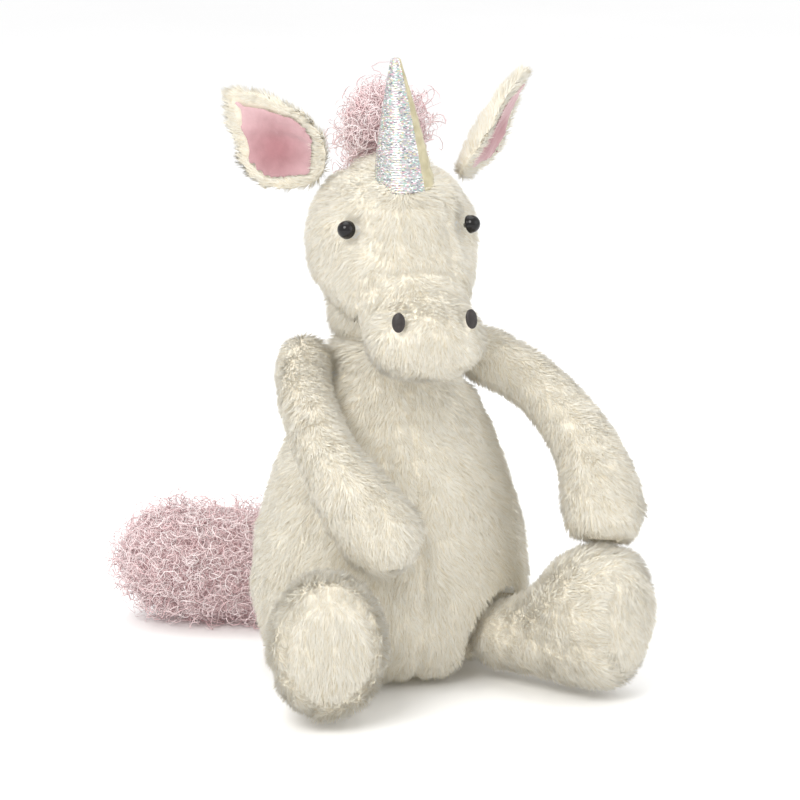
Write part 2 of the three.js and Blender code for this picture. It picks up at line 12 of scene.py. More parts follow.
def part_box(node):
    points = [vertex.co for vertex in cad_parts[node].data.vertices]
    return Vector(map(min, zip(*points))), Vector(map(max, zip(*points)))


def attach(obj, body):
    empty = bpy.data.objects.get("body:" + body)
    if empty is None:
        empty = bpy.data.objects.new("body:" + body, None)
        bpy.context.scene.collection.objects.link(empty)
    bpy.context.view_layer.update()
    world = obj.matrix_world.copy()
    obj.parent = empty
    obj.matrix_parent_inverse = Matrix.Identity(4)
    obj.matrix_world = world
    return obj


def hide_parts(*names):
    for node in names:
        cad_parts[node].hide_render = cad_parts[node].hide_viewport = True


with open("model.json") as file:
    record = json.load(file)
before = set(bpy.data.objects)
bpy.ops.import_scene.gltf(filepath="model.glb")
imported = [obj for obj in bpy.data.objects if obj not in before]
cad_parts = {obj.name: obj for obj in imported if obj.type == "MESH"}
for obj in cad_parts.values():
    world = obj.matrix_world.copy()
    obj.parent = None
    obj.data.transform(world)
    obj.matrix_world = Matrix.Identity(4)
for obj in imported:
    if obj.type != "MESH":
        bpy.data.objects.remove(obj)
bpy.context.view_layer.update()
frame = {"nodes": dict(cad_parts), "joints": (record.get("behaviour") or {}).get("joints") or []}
MM = 0.001

# ---- Camera, light and floor -----------------------------------------------------------
# A long lens a little above the toy and to its right, a seamless pale sweep, one large soft
# key from the upper left, a fill from the right and a broad top light.
AZIMUTH, ELEVATION, DISTANCE = math.radians(-16), math.radians(12), 1.3
aim = Vector((0, 0, 0.110))
away = Vector((math.sin(AZIMUTH) * math.cos(ELEVATION),
               -math.cos(AZIMUTH) * math.cos(ELEVATION),
               math.sin(ELEVATION)))


def in_scene(name, data):
    obj = bpy.data.objects.new(name, data)
    bpy.context.collection.objects.link(obj)
    return obj


camera_data = bpy.data.cameras.new("camera")
camera_data.lens, camera_data.sensor_width = 150, 36
camera = in_scene("camera", camera_data)
camera.location = aim + away * DISTANCE
camera.rotation_euler = (-away).to_track_quat("-Z", "Y").to_euler()
camera_data.shift_x, camera_data.shift_y = 0.0125, -0.0125
bpy.context.scene.camera = camera


def area_light(name, place, size, power, colour=(1, 1, 1)):
    data = bpy.data.lights.new(name, "AREA")
    data.shape, data.size, data.energy, data.color = "DISK", size, power, colour
    lamp = in_scene(name, data)
    lamp.location = place
    lamp.rotation_euler = (aim - Vector(place)).to_track_quat("-Z", "Y").to_euler()


area_light("key", (-0.75, -0.85, 1.05), 0.8, 12, (1.0, 0.985, 0.96))
area_light("fill", (0.95, -0.75, 0.55), 1.1, 3.0, (0.96, 0.98, 1.0))
area_light("top", (0.0, 0.25, 1.3), 1.2, 6)
world = bpy.data.worlds.new("studio")
bpy.context.scene.world = world
world.use_nodes = True
world.node_tree.nodes["Background"].inputs["Color"].default_value = (1, 1, 1, 1)
world.node_tree.nodes["Background"].inputs["Strength"].default_value = 1.02
bpy.context.scene.view_settings.view_transform = "Standard"

floor_mesh = bpy.data.meshes.new("floor")
sweep = bmesh.new()
bmesh.ops.create_grid(sweep, x_segments=2, y_segments=2, size=4)
sweep.to_mesh(floor_mesh)
sweep.free()
floor = in_scene("floor", floor_mesh)
floor.location.z = -0.4 * MM


def plain(name, colour, roughness=0.9, sheen=0.0, metallic=0.0, coat=0.0, glow=0.0):
    """One even colour, with the look of its fibre or plastic. A glow, if given, is painted light: the piece
    shines weakly in its colour squared, standing in for light scattered inside it.
    """
    material = bpy.data.materials.new(name)
    material.use_nodes = True
    shader = material.node_tree.nodes["Principled BSDF"]
    shader.inputs["Base Color"].default_value = (*colour, 1)
    shader.inputs["Roughness"].default_value = roughness
    shader.inputs["Metallic"].default_value = metallic
    shader.inputs["Sheen Weight"].default_value = sheen
    shader.inputs["Sheen Roughness"].default_value = 0.5
    shader.inputs["Coat Weight"].default_value = coat
    shader.inputs["Emission Color"].default_value = (*(value**2 for value in colour), 1)
    shader.inputs["Emission Strength"].default_value = glow
    material.diffuse_color = (*colour, 1)
    return material


def mottled(name, dark, light, scale, bump_scale, bump=0.3, distance=0.0004, roughness=0.9, sheen=0.2,
            **more):
    """A colour that drifts from dark to light over the piece, with a fine bump."""
    material = plain(name, light, roughness, sheen, **more)
    tree = material.node_tree
    shader = tree.nodes["Principled BSDF"]
    place = tree.nodes.new("ShaderNodeTexCoord")
    broad = tree.nodes.new("ShaderNodeTexNoise")
    broad.inputs["Scale"].default_value = scale
    broad.inputs["Detail"].default_value = 6
    ramp = tree.nodes.new("ShaderNodeValToRGB")
    ramp.color_ramp.elements[0].position, ramp.color_ramp.elements[1].position = 0.3, 0.72
    ramp.color_ramp.elements[0].color, ramp.color_ramp.elements[1].color = (*dark, 1), (*light, 1)
    fine = tree.nodes.new("ShaderNodeTexNoise")
    fine.inputs["Scale"].default_value = bump_scale
    fine.inputs["Detail"].default_value = 4
    relief = tree.nodes.new("ShaderNodeBump")
    relief.inputs["Strength"].default_value = bump
    relief.inputs["Distance"].default_value = distance
    link = tree.links.new
    link(place.outputs["Object"], broad.inputs["Vector"])
    link(place.outputs["Object"], fine.inputs["Vector"])
    link(broad.outputs["Fac"], ramp.inputs["Fac"])
    link(ramp.outputs["Color"], shader.inputs["Base Color"])
    link(fine.outputs["Fac"], relief.inputs["Height"])
    link(relief.outputs["Normal"], shader.inputs["Normal"])
    return material


floor_material = mottled("floor", (0.93, 0.93, 0.93), (0.95, 0.95, 0.95), 3, 60, bump=0.02, sheen=0)
floor_mesh.materials.append(floor_material)


# ---- Torso -----------------------------------------------------------------------------
# A pear-shaped bag of cream plush: two belly panels sewn up the front and a back panel that
# wraps under the seat. The nap is brushed down the body, away from the middle seam in front.
# The cloth glows weakly in its colour squared: painted light, so that the backing seen between the strands
# reads lit by light scattered through the pile.
CREAM_CLOTH = mottled("cream cloth", (0.72, 0.66, 0.54), (0.79, 0.74, 0.63), 60, 900, glow=0.07)


def merged_copy(names):
    cast = bmesh.new()
    for node in names:
        cast.from_mesh(frame["nodes"][node].data)
    mesh = bpy.data.meshes.new("copy")
    cast.to_mesh(mesh)
    cast.free()
    return mesh


def with_modifier(obj, kind, **values):
    modifier = obj.modifiers.new(kind.lower(), kind)
    for key, value in values.items():
        setattr(modifier, key, value)
    return modifier


def applied(obj):
    view = bpy.context.evaluated_depsgraph_get()
    mesh = bpy.data.meshes.new_from_object(obj.evaluated_get(view))
    obj.modifiers.clear()
    obj.data = mesh
    return mesh


def points_of(mesh):
    flat = np.empty(len(mesh.vertices) * 3, dtype=np.float32)
    mesh.vertices.foreach_get("co", flat)
    return flat.reshape(-1, 3).astype(np.float64)


def normals_of(mesh):
    flat = np.empty(len(mesh.vertices) * 3, dtype=np.float32)
    mesh.vertex_normals.foreach_get("vector", flat)
    return flat.reshape(-1, 3).astype(np.float64)


def set_points(mesh, points):
    mesh.vertices.foreach_set("co", points.astype(np.float32).ravel())
    mesh.update()


PUFF_FRAMES = 12


def cloth_bag(name, body, replaced, inside=(), voxel=0.0035, draw_in=2.9 * MM, swell=1.5 * MM,
              smooth=6, cloth=None):
    """One closed bag for a stuffed part. Its panels and filling are merged in a copy, remeshed,
    puffed up as cloth by at most swell, and drawn in by draw_in to leave room for the pile."""
    bag = in_scene(name, merged_copy([*replaced, *inside]))
    with_modifier(bag, "REMESH", mode="VOXEL", voxel_size=voxel)
    applied(bag)
    start = points_of(bag.data)
    puff = with_modifier(bag, "CLOTH")
    puff.settings.use_pressure = True
    puff.settings.uniform_pressure_force = 4
    puff.settings.effector_weights.gravity = 0
    puff.collision_settings.use_collision = False
    puff.point_cache.frame_start, puff.point_cache.frame_end = 1, PUFF_FRAMES
    for step in range(1, PUFF_FRAMES + 1):
        bpy.context.scene.frame_set(step)
    applied(bag)
    bpy.context.scene.frame_set(1)
    moved = points_of(bag.data) - start
    reach = np.linalg.norm(moved, axis=1, keepdims=True)
    set_points(bag.data, start + moved * np.minimum(1, swell / np.maximum(reach, 1e-9)))
    with_modifier(bag, "SMOOTH", factor=0.5, iterations=smooth)
    with_modifier(bag, "SUBSURF", levels=1)
    applied(bag)
    points, normals = points_of(bag.data), normals_of(bag.data)
    set_points(bag.data, points - normals * draw_in)
    with_modifier(bag, "SMOOTH", factor=0.5, iterations=3)
    applied(bag)
    bag.data.polygons.foreach_set("use_smooth", [True] * len(bag.data.polygons))
    bag.data.materials.clear()
    bag.data.materials.append(cloth or CREAM_CLOTH)
    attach(bag, body)
    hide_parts(*replaced)
    return bag


def triangles_of(mesh):
    mesh.calc_loop_triangles()
    corners = np.empty(len(mesh.loop_triangles) * 3, dtype=np.int32)
    mesh.loop_triangles.foreach_get("vertices", corners)
    return corners.reshape(-1, 3)


def search_tree(node):
    """The surface of a CAD node, for finding the nearest point on it."""
    solid = bmesh.new()
    solid.from_mesh(frame["nodes"][node].data)
    tree = BVHTree.FromBMesh(solid)
    solid.free()
    return tree


def panels_of(mesh, names):
    """For each triangle of a skin, which of the named CAD panels lies over it."""
    trees = [search_tree(node) for node in names]
    points, corners = points_of(mesh), triangles_of(mesh)
    near = np.array([[tree.find_nearest(Vector(p))[3] for tree in trees] for p in points])
    return np.argmin(near[corners].sum(axis=1), axis=1)


FAR_FROM_SEAMS = 1.0


def seam_distances(mesh, labels):
    """How far each vertex is from the nearest seam between panels."""
    points, corners = points_of(mesh), triangles_of(mesh)
    least = np.full(len(points), labels.max())
    most = np.full(len(points), labels.min())
    for corner in range(3):
        np.minimum.at(least, corners[:, corner], labels)
        np.maximum.at(most, corners[:, corner], labels)
    edge = np.nonzero(least != most)[0]
    if len(edge) == 0:
        return np.full(len(points), FAR_FROM_SEAMS)
    tree = KDTree(len(edge))
    for index in edge:
        tree.insert(Vector(points[index]), int(index))
    tree.balance()
    return np.array([tree.find(Vector(p))[2] for p in points])


def groove(mesh, distance, depth=1.3 * MM, reach=2.2 * MM):
    """Draws the skin in along its seams."""
    points, normals = points_of(mesh), normals_of(mesh)
    sink = depth * np.exp(-(distance / reach) ** 2)
    set_points(mesh, points - normals * sink[:, None])


# Plush pile is dense fine hair that the nap lays one way. Light scatters from fibre to fibre
# inside it, and a weak glow on each strand stands in for that.
CREAM_PILE = [
    plain("pile shade", (0.75, 0.68, 0.53), 0.95, 0.0, glow=0.09),
    plain("pile warm", (0.825, 0.77, 0.645), 0.9, 0.1, glow=0.09),
    plain("pile light", (0.855, 0.825, 0.735), 0.85, 0.15, glow=0.09),
    plain("pile cream", (0.84, 0.80, 0.695), 0.85, 0.1, glow=0.09),
]


def unit(rows):
    return rows / np.maximum(np.linalg.norm(rows, axis=1, keepdims=True), 1e-12)


def waves(points, size, seed, count=5):
    """A smooth random value from -1 to 1 at each point, with bumps of about the given size."""
    dice = np.random.default_rng(seed)
    total = np.zeros(len(points))
    for _ in range(count):
        way = dice.normal(size=3)
        way /= np.linalg.norm(way)
        ripple = points @ way * (2 * math.pi / size) * dice.uniform(0.7, 1.4)
        total += np.sin(ripple + dice.uniform(0, 6.3))
    return total / math.sqrt(count)


def raw_object(name, points, loops, starts, slots, materials, normals):
    mesh = bpy.data.meshes.new(name)
    mesh.vertices.add(len(points))
    mesh.vertices.foreach_set("co", points.astype(np.float32).ravel())
    mesh.loops.add(len(loops))
    mesh.loops.foreach_set("vertex_index", loops.astype(np.int32))
    mesh.polygons.add(len(starts))
    mesh.polygons.foreach_set("loop_start", starts.astype(np.int32))
    mesh.update(calc_edges=True)
    for material in materials:
        mesh.materials.append(material)
    mesh.polygons.foreach_set("material_index", slots.astype(np.int32))
    mesh.polygons.foreach_set("use_smooth", np.ones(len(starts), dtype=bool))
    mesh.normals_split_custom_set_from_vertices(normals.astype(np.float32))
    mesh.update()
    return in_scene(name, mesh)


def areas_of(points, corners):
    a, b, c = (points[corners[:, k]] for k in range(3))
    return np.linalg.norm(np.cross(b - a, c - a), axis=1) / 2


def scattered(area, count, dice):
    """Triangles drawn at random, each as often as its area says."""
    return np.searchsorted(np.cumsum(area) / area.sum(), dice.random(count)).clip(0, len(area) - 1)


def whole(skin):
    """For a skin without panels: every triangle of it, and no seam near any vertex."""
    every = np.ones(len(triangles_of(skin.data)), dtype=bool)
    return every, np.full(len(skin.data.vertices), FAR_FROM_SEAMS)


STRAND_SIDES = 3
ROOT_DEPTH = 0.4 * MM


def pile(name, body, skin, chosen, nap, seams, seed, per_mm2=3.5, length=4.6, width=0.46, lean=1.25,
         tuft=6.0, pull=0.16, bare=None):
    """Grows pile on the chosen triangles of a skin. nap gives the way it lies at each point, and
    bare how tall it is there. A strand is a three-sided spike, rooted in the cloth, that leans
    along the nap and towards its tuft. Lengths are in millimetres."""
    dice = np.random.default_rng(seed)
    mesh = skin.data
    points, normals, corners = points_of(mesh), normals_of(mesh), triangles_of(mesh)[chosen]
    area = areas_of(points, corners)
    count = int(area.sum() / MM**2 * per_mm2)
    pick = scattered(area, count, dice)
    u, v = dice.random(count), dice.random(count)
    flip = u + v > 1
    u[flip], v[flip] = 1 - u[flip], 1 - v[flip]
    share = np.stack([1 - u - v, u, v], axis=1)[:, :, None]
    root = (points[corners[pick]] * share).sum(axis=1)
    up = unit((normals[corners[pick]] * share).sum(axis=1))
    seam = (seams[corners[pick]] * share[:, :, 0]).sum(axis=1)
    tall = np.ones(count)
    if bare is not None:
        tall = bare(root)
        keep = tall > 0.05
        root, up, seam, tall = root[keep], up[keep], seam[keep], tall[keep]
        count = len(root)

    comb = nap(root)
    ruffle = 0.3 * waves(root, 0.018, seed + 1) + 0.14 * waves(root, 0.007, seed + 2)
    ruffle = ruffle + 0.2 * dice.normal(size=count)
    comb = unit(comb - up * (comb * up).sum(axis=1, keepdims=True))
    side = unit(np.cross(up, comb))
    comb = unit(comb * np.cos(ruffle)[:, None] + side * np.sin(ruffle)[:, None])
    caught = 1 - 0.42 * np.exp(-(seam / (2.4 * MM)) ** 2)
    size = length * MM * tall * (0.72 + 0.45 * dice.random(count)) * caught
    size = size * (1 + 0.12 * waves(root, 0.02, seed + 3))
    stand_up = 0.72 + 0.2 * waves(root, 0.009, seed + 4) + 0.18 * dice.normal(size=count)
    way = unit(up * stand_up[:, None] + comb * lean)
    tip = root + way * size[:, None]

    # Tufts: each tip is drawn towards the middle of its own cell of a jittered grid. The three
    # large primes give every cell a number of its own, and so a jitter of its own.
    cell = np.floor(root / (tuft * MM)).astype(np.int64)
    hashed = (cell[:, 0] * 73856093) ^ (cell[:, 1] * 19349663) ^ (cell[:, 2] * 83492791)
    jitter = np.stack([np.sin(hashed * k % 6283 / 1000.0) for k in (3, 7, 13)], axis=1) * 0.3
    centre = (cell + 0.5 + jitter) * tuft * MM + comb * (size * 0.6)[:, None]
    inward = centre - tip
    inward -= up * (inward * up).sum(axis=1, keepdims=True)
    tip = tip + inward * pull
    tip[:, 2] = np.maximum(tip[:, 2], 0.2 * MM)

    spine = unit(tip - root)
    across = unit(np.cross(spine, dice.normal(size=(count, 3))))
    other = np.cross(spine, across)
    thick = (0.5 * width * MM * (0.7 + 0.6 * dice.random(count)))[:, None]
    made, shade = [], []
    for k in range(STRAND_SIDES):
        turn = 2 * math.pi * k / STRAND_SIDES
        out = across * math.cos(turn) + other * math.sin(turn)
        made.append(root - up * ROOT_DEPTH + out * thick)
        shade.append(unit(up + 0.35 * out + 0.5 * spine))
    made.append(tip)
    shade.append(unit(up + 0.5 * spine))
    made, shade = np.stack(made, axis=1), np.stack(shade, axis=1)

    first = np.arange(count)[:, None] * (STRAND_SIDES + 1)
    loops = (first + np.array([[0, 1, 3, 1, 2, 3, 2, 0, 3]])).ravel()
    starts = np.arange(count * STRAND_SIDES) * 3
    tone = dice.choice(len(CREAM_PILE), count, p=(0.12, 0.3, 0.36, 0.22))
    slots = np.repeat(tone, STRAND_SIDES)
    obj = raw_object(name, made.reshape(-1, 3), loops, starts, slots, CREAM_PILE, shade.reshape(-1, 3))
    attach(obj, body)
    return obj


def torso_nap(root):
    side = np.tanh(root[:, 0] / (6 * MM)) * 0.16
    return np.stack([side, np.zeros(len(root)), np.full(len(root), -1.0)], axis=1)


COLLAR_HEIGHT, COLLAR_RISE = 122 * MM, 8 * MM


def collar(root):
    """The pile is longer at the top of the torso, where it closes round the neck."""
    return 1 + 1.2 * np.clip((root[:, 2] - COLLAR_HEIGHT) / COLLAR_RISE, 0, 1)


torso_panels = ["belly_panel_left", "belly_panel_right", "back_panel"]
torso = cloth_bag("torso_cloth", "torso", torso_panels, ["body_stuffing", "seat_bean_pouch"], voxel=0.004)
labels = panels_of(torso.data, torso_panels)
torso_seams = seam_distances(torso.data, labels)
groove(torso.data, torso_seams)
for index, panel in enumerate(torso_panels):
    pile(panel.replace("panel", "pile"), "torso", torso, labels == index, torso_nap, torso_seams,
         100 + index, bare=collar)


# ---- Neck ------------------------------------------------------------------------------
# A short neck of the same plush over its own wad of filling. One strong cream thread closes it
# to the torso with a ladder stitch that zigzags between the two edges.
def middle_of(*nodes):
    boxes = [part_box(node) for node in nodes]
    lowest = np.min([np.array(box[0]) for box in boxes], axis=0)
    highest = np.max([np.array(box[1]) for box in boxes], axis=0)
    return (lowest + highest) / 2


neck = cloth_bag("neck_cloth", "neck", ["neck_stuffing"], voxel=0.002, draw_in=-1.6 * MM, swell=0.5 * MM)
every, no_seams = whole(neck)
pile("neck_pile", "neck", neck, every, torso_nap, no_seams, 110, per_mm2=5, length=6.5)

STITCHES, STOPS_PER_STITCH = 26, 8
LADDER_RADIUS, LADDER_SWAY, LADDER_RISE = 20.6 * MM, 0.5 * MM, 0.9 * MM
THREAD_RADIUS, THREAD_SIDES = 0.45 * MM, 6
stops = np.arange(STITCHES * STOPS_PER_STITCH)
turns = stops * (2 * math.pi / len(stops))
slant = np.abs((stops / STOPS_PER_STITCH) % 1 - 0.5) * 4 - 1
reach = LADDER_RADIUS + LADDER_SWAY * np.abs(slant)
ladder = np.stack([reach * np.cos(turns), reach * np.sin(turns), LADDER_RISE * slant], axis=1)
route = middle_of("neck_stitching") + ladder
ring = bmesh.new()
rows = []
for k in range(len(route)):
    ahead = unit((route[(k + 1) % len(route)] - route[k - 1])[None])[0]
    out = unit(np.cross(ahead, (0, 0, 1))[None])[0]
    over = np.cross(out, ahead)
    rows.append([ring.verts.new(route[k] + THREAD_RADIUS * (out * math.cos(t) + over * math.sin(t)))
                 for t in np.arange(THREAD_SIDES) * (2 * math.pi / THREAD_SIDES)])
for k in range(len(rows)):
    after = rows[(k + 1) % len(rows)]
    for m in range(THREAD_SIDES):
        n = (m + 1) % THREAD_SIDES
        ring.faces.new((rows[k][m], rows[k][n], after[n], after[m]))
bmesh.ops.recalc_face_normals(ring, faces=ring.faces[:])
thread_mesh = bpy.data.meshes.new("neck_thread")
ring.to_mesh(thread_mesh)
ring.free()
thread_mesh.materials.append(CREAM_CLOTH)
neck_thread = in_scene("neck_thread", thread_mesh)
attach(neck_thread, "torso")
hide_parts("neck_stitching")


# ---- Arms and legs ---------------------------------------------------------------------
# Each limb is two plush panels sewn edge to edge and stuffed; a leg also has an oval sole let
# into its end. The nap runs from the shoulder or hip to the tip, and down the soles.
def along(start, end):
    """A nap that runs from start to end and hangs down a little."""
    way = np.array(end) - np.array(start)
    way = way / np.linalg.norm(way) + np.array([0, 0, -0.35])
    return lambda root: np.tile(way, (len(root), 1))


SIDES = ("left", "right")
joints = {joint["name"]: joint for joint in frame["joints"]}
for number, side in enumerate(SIDES):
    body = f"arm_{side}"
    panels = [f"arm_upper_panel_{side}", f"arm_under_panel_{side}"]
    sleeve = cloth_bag(f"arm_cloth_{side}", body, panels, [f"arm_stuffing_{side}", f"paw_beans_{side}"],
                       draw_in=2.4 * MM, smooth=16)
    labels = panels_of(sleeve.data, panels)
    seams = seam_distances(sleeve.data, labels)
    groove(sleeve.data, seams, depth=0.7 * MM)
    shoulder = joints[f"arm_lift_{side}"]["pos_m"]
    nap = along(shoulder, middle_of(f"paw_beans_{side}"))
    for index, panel in enumerate(panels):
        pile(panel.replace("panel", "pile"), body, sleeve, labels == index, nap, seams,
             200 + 10 * number + index)

    body = f"leg_{side}"
    panels = [f"leg_top_panel_{side}", f"leg_under_panel_{side}", f"foot_sole_{side}"]
    sock = cloth_bag(f"leg_cloth_{side}", body, panels, [f"leg_stuffing_{side}", f"foot_beans_{side}"])
    labels = panels_of(sock.data, panels)
    seams = seam_distances(sock.data, labels)
    groove(sock.data, seams, depth=0.8 * MM)
    hip = joints[f"leg_drop_{side}"]["pos_m"]
    naps = [along(hip, middle_of(f"foot_sole_{side}"))] * 2 + [along((0, 0, 1), (0, 0, 0))]
    for index, panel in enumerate(panels):
        name = panel.replace("panel", "pile").replace("sole", "sole_pile")
        pile(name, body, sock, labels == index, naps[index], seams, 300 + 10 * number + index)


# ---- Head ------------------------------------------------------------------------------
# Two plush side panels, a gusset from the muzzle over the brow to the nape, and a muzzle panel.
# The pile is parted at the eyes and nostrils, and the eye shanks pull the cloth in.
EYE_RADIUS = 3.4 * MM
eye_ways, eye_centres = {}, {}
for side in SIDES:
    washer = middle_of(f"eye_washer_{side}")
    button = points_of(frame["nodes"][f"eye_{side}"].data)
    apex = button[np.argmax(np.linalg.norm(button - washer, axis=1) * ((button - washer)[:, 1] < 0))]
    eye_ways[side] = (apex - washer) / np.linalg.norm(apex - washer)
    eye_centres[side] = apex - eye_ways[side] * EYE_RADIUS
cover = points_of(frame["nodes"]["horn_cover"].data)
horn_tip = cover[cover[:, 2] > cover[:, 2].max() - 1.0 * MM].mean(axis=0)
# The horn's cone starts inside the head: this is the centre of its own base.
horn_foot = np.array([0, -17 * MM, 200.5 * MM])
horn_way = horn_tip - horn_foot
horn_axis = unit(horn_way[None])[0]
nostril_centres = {side: middle_of(f"nostril_{side}") for side in SIDES}


def about_horn(root):
    """How far along the horn's axis from its foot each point is, and how far out from the axis."""
    gap = root - horn_foot
    rise = gap @ horn_axis
    return rise, np.linalg.norm(gap - rise[:, None] * horn_axis, axis=1)


def head_nap(root):
    """Down and outwards on the head, and forwards over the snout."""
    snout = np.clip((-root[:, 1] - 26 * MM) / (14 * MM), 0, 1)
    outwards = np.tanh(root[:, 0] / (8 * MM)) * (0.3 + 0.3 * snout)
    return np.stack([outwards, 0.3 - 0.9 * snout, -1.0 + 0.2 * snout], axis=1)


def head_bare(root):
    """Longer round the horn's foot and at the rim of the neck, and none under the eyes, the
    nostrils and the horn."""
    along_horn, from_horn = about_horn(root)
    under_horn = along_horn > -13 * MM
    tall = 1 + 0.55 * np.exp(-((from_horn - 11 * MM) / (2.5 * MM)) ** 2) * under_horn
    tall *= (from_horn > 8.5 * MM) | ~under_horn
    tall *= 1 + 0.9 * np.clip((153 * MM - root[:, 2]) / (8 * MM), 0, 1) * (root[:, 1] > -18 * MM)
    for centre in eye_centres.values():
        away_from = np.linalg.norm(root - centre, axis=1)
        tall *= np.clip((away_from - 5.2 * MM) / (5 * MM), 0, 1) * 0.65 + 0.35 * (away_from > 5.6 * MM)
    for centre in nostril_centres.values():
        gap = root - centre
        away_from = np.sqrt(gap[:, 0] ** 2 + (gap[:, 1] * 0.6) ** 2 + (gap[:, 2] * 0.75) ** 2)
        tall *= np.clip((away_from - 3.4 * MM) / (4 * MM), 0, 1) * 0.6 + 0.4 * (away_from > 3.6 * MM)
    return tall


head_panels = ["head_side_left", "head_side_right", "forehead_gusset", "muzzle_panel"]
head = cloth_bag("head_cloth", "head", head_panels, ["head_stuffing"], voxel=0.003, smooth=12)
points = points_of(head.data)
normals = normals_of(head.data)
DENT_DEPTH, DENT_REACH = 3.0 * MM, 8 * MM
for centre in eye_centres.values():
    reach = np.linalg.norm(points - centre, axis=1)
    points -= normals * (DENT_DEPTH * np.exp(-(reach / DENT_REACH) ** 2))[:, None]
set_points(head.data, points)
labels = panels_of(head.data, head_panels)
head_seams = seam_distances(head.data, labels)
groove(head.data, head_seams, depth=1.1 * MM)
for index, panel in enumerate(head_panels):
    name = panel.replace("panel", "pile") if "panel" in panel else panel + "_pile"
    pile(name, "head", head, labels == index, head_nap, head_seams, 400 + index, per_mm2=3.6,
         length=4.2, bare=head_bare)


# ---- Eyes ------------------------------------------------------------------------------
# Moulded black safety eyes: a polished dome on a shank that goes through the cloth into a
# locking washer. A low rim runs round the dome where it meets the cloth.
EYE_PLASTIC = mottled("eye plastic", (0.004, 0.004, 0.004), (0.010, 0.008, 0.008), 300, 900,
                      bump=0.02, roughness=0.06, sheen=0)
EYE_PLASTIC.node_tree.nodes["Principled BSDF"].inputs["Specular IOR Level"].default_value = 0.32


def lathe(name, profile, steps, material):
    """A piece turned round +Z from (radius, height) pairs, and closed at both ends."""
    turned = bmesh.new()
    line = [turned.verts.new((radius, 0, height)) for radius, height in profile]
    edges = [turned.edges.new(pair) for pair in zip(line, line[1:])]
    bmesh.ops.spin(turned, geom=line + edges, cent=(0, 0, 0), axis=(0, 0, 1), dvec=(0, 0, 0),
                   angle=2 * math.pi, steps=steps, use_merge=True)
    bmesh.ops.holes_fill(turned, edges=[edge for edge in turned.edges if edge.is_boundary], sides=0)
    bmesh.ops.recalc_face_normals(turned, faces=turned.faces[:])
    mesh = bpy.data.meshes.new(name)
    turned.to_mesh(mesh)
    turned.free()
    mesh.polygons.foreach_set("use_smooth", [True] * len(mesh.polygons))
    mesh.materials.append(material)
    return in_scene(name, mesh)


def stand(obj, place, way):
    """Moves a piece's own +Z onto a direction, at a place, in its mesh."""
    turn = Vector(way).to_track_quat("Z", "Y").to_matrix().to_4x4()
    obj.data.transform(Matrix.Translation(Vector(place)) @ turn)
    obj.data.update()


shank = [(0.9 * MM, -3.0 * MM), (1.4 * MM, -2.0 * MM)]
rim = [(EYE_RADIUS * 1.04, -0.9 * MM), (EYE_RADIUS * 1.06, -0.4 * MM)]
dome = [(EYE_RADIUS * math.cos(t), EYE_RADIUS * math.sin(t)) for t in np.linspace(0.02, 1.54, 16)]
for side in SIDES:
    eye = lathe(f"eye_dome_{side}", shank + rim + dome, 48, EYE_PLASTIC)
    stand(eye, eye_centres[side], eye_ways[side])
    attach(eye, "head")
    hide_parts(f"eye_{side}")


# ---- Nostrils --------------------------------------------------------------------------
# Two upright ovals embroidered on the muzzle in charcoal thread: satin stitches laid side by
# side across the oval, so its surface is a row of fine rounded ridges.
NOSTRIL_THREAD = mottled("nostril thread", (0.010, 0.007, 0.006), (0.028, 0.020, 0.018), 500, 2600,
                         bump=0.25, distance=0.00015, roughness=0.5, sheen=0.1)
OVAL_HALF_SIZES = np.array([2.5 * MM, 3.7 * MM, 1.2 * MM])
STITCH_PITCH, STITCH_HEIGHT = 0.42 * MM, 0.16 * MM
muzzle_centre = middle_of("muzzle_panel")
for side in SIDES:
    centre = nostril_centres[side]
    cap = [(math.cos(t), math.sin(t)) for t in np.linspace(-1.1, 1.5, 30)]
    oval = lathe(f"nostril_oval_{side}", cap, 64, NOSTRIL_THREAD)
    shape = points_of(oval.data) * OVAL_HALF_SIZES
    ridge = STITCH_HEIGHT * np.abs(np.sin(shape[:, 1] / STITCH_PITCH * math.pi))
    shape[:, 2] += ridge * (shape[:, 2] > 0)
    set_points(oval.data, shape)
    outward = centre - muzzle_centre
    outward = np.array([outward[0] * 0.55, -1.0 * np.linalg.norm(outward), outward[2] * 0.9])
    stand(oval, centre, outward)
    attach(oval, "head")
    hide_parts(f"nostril_{side}")


